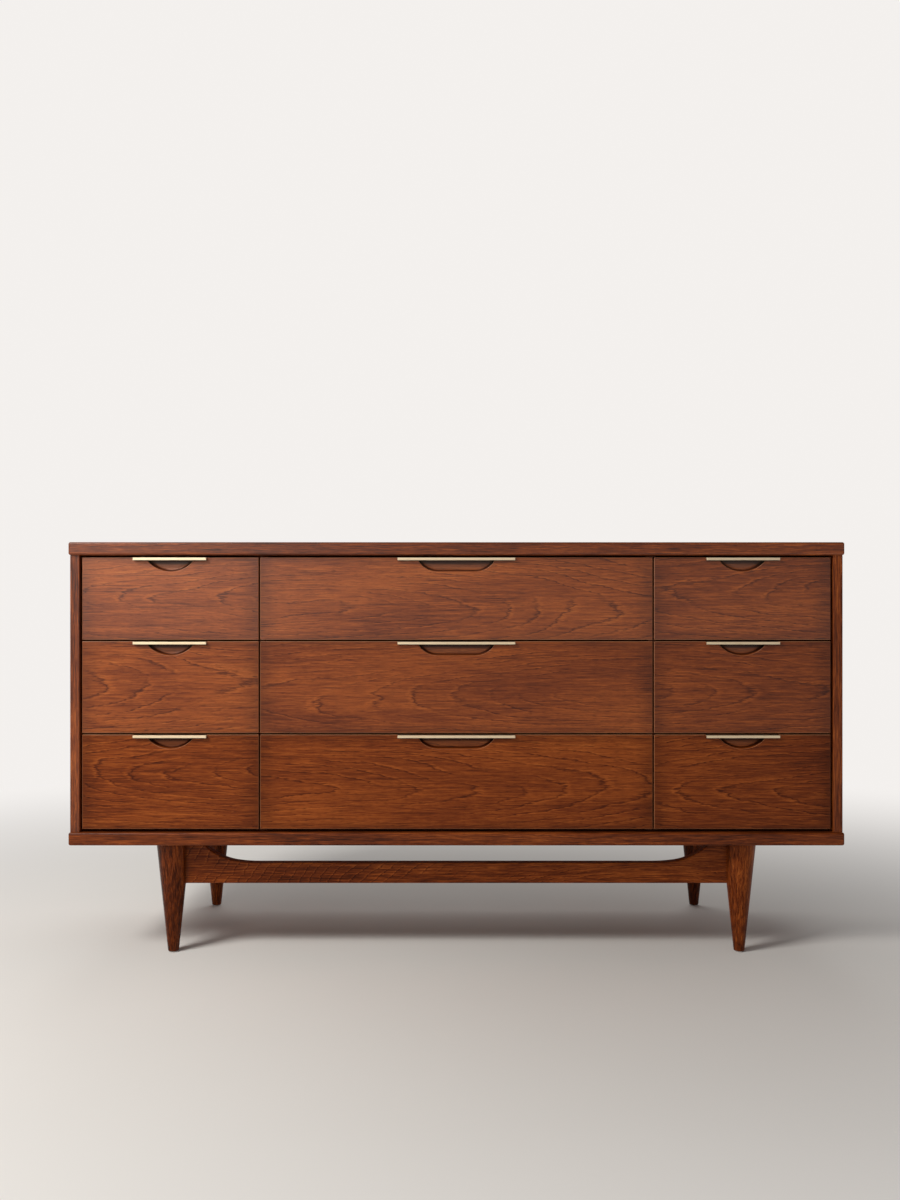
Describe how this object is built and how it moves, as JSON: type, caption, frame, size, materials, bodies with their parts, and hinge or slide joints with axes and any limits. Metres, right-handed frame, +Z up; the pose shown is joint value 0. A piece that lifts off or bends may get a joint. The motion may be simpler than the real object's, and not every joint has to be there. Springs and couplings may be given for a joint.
{
  "type": "dresser with drawers",
  "caption": "Low wide wooden dresser with three columns of drawers under one top, brass edge pulls over finger scoops, and tapered round legs joined in front by a shaped stretcher.",
  "frame": {"origin": "on the floor under the middle of the case", "axes": "+X to the right seen from the front, drawers open towards -Y, +Z up"},
  "size_m": [1.524, 0.457, 0.8164],
  "materials": {
    "walnut_case": "satin lacquer over reddish-brown walnut",
    "walnut_fronts": "satin lacquer over flat-sawn reddish-brown walnut",
    "walnut_legs": "satin lacquer over turned and shaped walnut",
    "maple": "sealed maple",
    "beech": "bare beech",
    "birch_plywood": "sealed birch plywood",
    "brown_plywood": "stained plywood",
    "satin_brass": "satin brushed",
    "plated_steel": "zinc plated",
    "nickelled_steel": "nickel plated, lightly worn"
  },
  "bodies": {
    "case": {"top_panel": "walnut_case", "base_panel": "walnut_case", "side_panel_left": "walnut_case", "side_panel_right": "walnut_case", "divider_left": "walnut_case", "divider_right": "walnut_case", "back_panel": "brown_plywood", "back_panel_screws": "plated_steel", "runners_left": "beech", "runners_centre": "beech", "runners_right": "beech", "runner_screws": "plated_steel", "case_dowels": "beech", "leg_front_left": "walnut_legs", "leg_front_right": "walnut_legs", "leg_rear_left": "walnut_legs", "leg_rear_right": "walnut_legs", "leg_bolts": "plated_steel", "tee_nuts": "plated_steel", "stretcher": "walnut_legs", "stretcher_dowels": "beech", "foot_glides": "nickelled_steel"},
    "drawer_lower_left": {"drawer_front_lower_left": "walnut_fronts", "drawer_box_lower_left": "maple", "drawer_bottom_lower_left": "birch_plywood", "pull_lower_left": "satin_brass"},
    "drawer_lower_centre": {"drawer_front_lower_centre": "walnut_fronts", "drawer_box_lower_centre": "maple", "drawer_bottom_lower_centre": "birch_plywood", "pull_lower_centre": "satin_brass"},
    "drawer_lower_right": {"drawer_front_lower_right": "walnut_fronts", "drawer_box_lower_right": "maple", "drawer_bottom_lower_right": "birch_plywood", "pull_lower_right": "satin_brass"},
    "drawer_middle_left": {"drawer_front_middle_left": "walnut_fronts", "drawer_box_middle_left": "maple", "drawer_bottom_middle_left": "birch_plywood", "pull_middle_left": "satin_brass"},
    "drawer_middle_centre": {"drawer_front_middle_centre": "walnut_fronts", "drawer_box_middle_centre": "maple", "drawer_bottom_middle_centre": "birch_plywood", "pull_middle_centre": "satin_brass"},
    "drawer_middle_right": {"drawer_front_middle_right": "walnut_fronts", "drawer_box_middle_right": "maple", "drawer_bottom_middle_right": "birch_plywood", "pull_middle_right": "satin_brass"},
    "drawer_upper_left": {"drawer_front_upper_left": "walnut_fronts", "drawer_box_upper_left": "maple", "drawer_bottom_upper_left": "birch_plywood", "pull_upper_left": "satin_brass"},
    "drawer_upper_centre": {"drawer_front_upper_centre": "walnut_fronts", "drawer_box_upper_centre": "maple", "drawer_bottom_upper_centre": "birch_plywood", "pull_upper_centre": "satin_brass"},
    "drawer_upper_right": {"drawer_front_upper_right": "walnut_fronts", "drawer_box_upper_right": "maple", "drawer_bottom_upper_right": "birch_plywood", "pull_upper_right": "satin_brass"}
  },
  "joints": [
    {"name": "slide_lower_left", "type": "slide", "parent": "case", "child": "drawer_lower_left", "axis": [0, -1, 0], "range_m": [0, 0.3]},
    {"name": "slide_lower_centre", "type": "slide", "parent": "case", "child": "drawer_lower_centre", "axis": [0, -1, 0], "range_m": [0, 0.3]},
    {"name": "slide_lower_right", "type": "slide", "parent": "case", "child": "drawer_lower_right", "axis": [0, -1, 0], "range_m": [0, 0.3]},
    {"name": "slide_middle_left", "type": "slide", "parent": "case", "child": "drawer_middle_left", "axis": [0, -1, 0], "range_m": [0, 0.3]},
    {"name": "slide_middle_centre", "type": "slide", "parent": "case", "child": "drawer_middle_centre", "axis": [0, -1, 0], "range_m": [0, 0.3]},
    {"name": "slide_middle_right", "type": "slide", "parent": "case", "child": "drawer_middle_right", "axis": [0, -1, 0], "range_m": [0, 0.3]},
    {"name": "slide_upper_left", "type": "slide", "parent": "case", "child": "drawer_upper_left", "axis": [0, -1, 0], "range_m": [0, 0.3]},
    {"name": "slide_upper_centre", "type": "slide", "parent": "case", "child": "drawer_upper_centre", "axis": [0, -1, 0], "range_m": [0, 0.3]},
    {"name": "slide_upper_right", "type": "slide", "parent": "case", "child": "drawer_upper_right", "axis": [0, -1, 0], "range_m": [0, 0.3]}
  ]
}
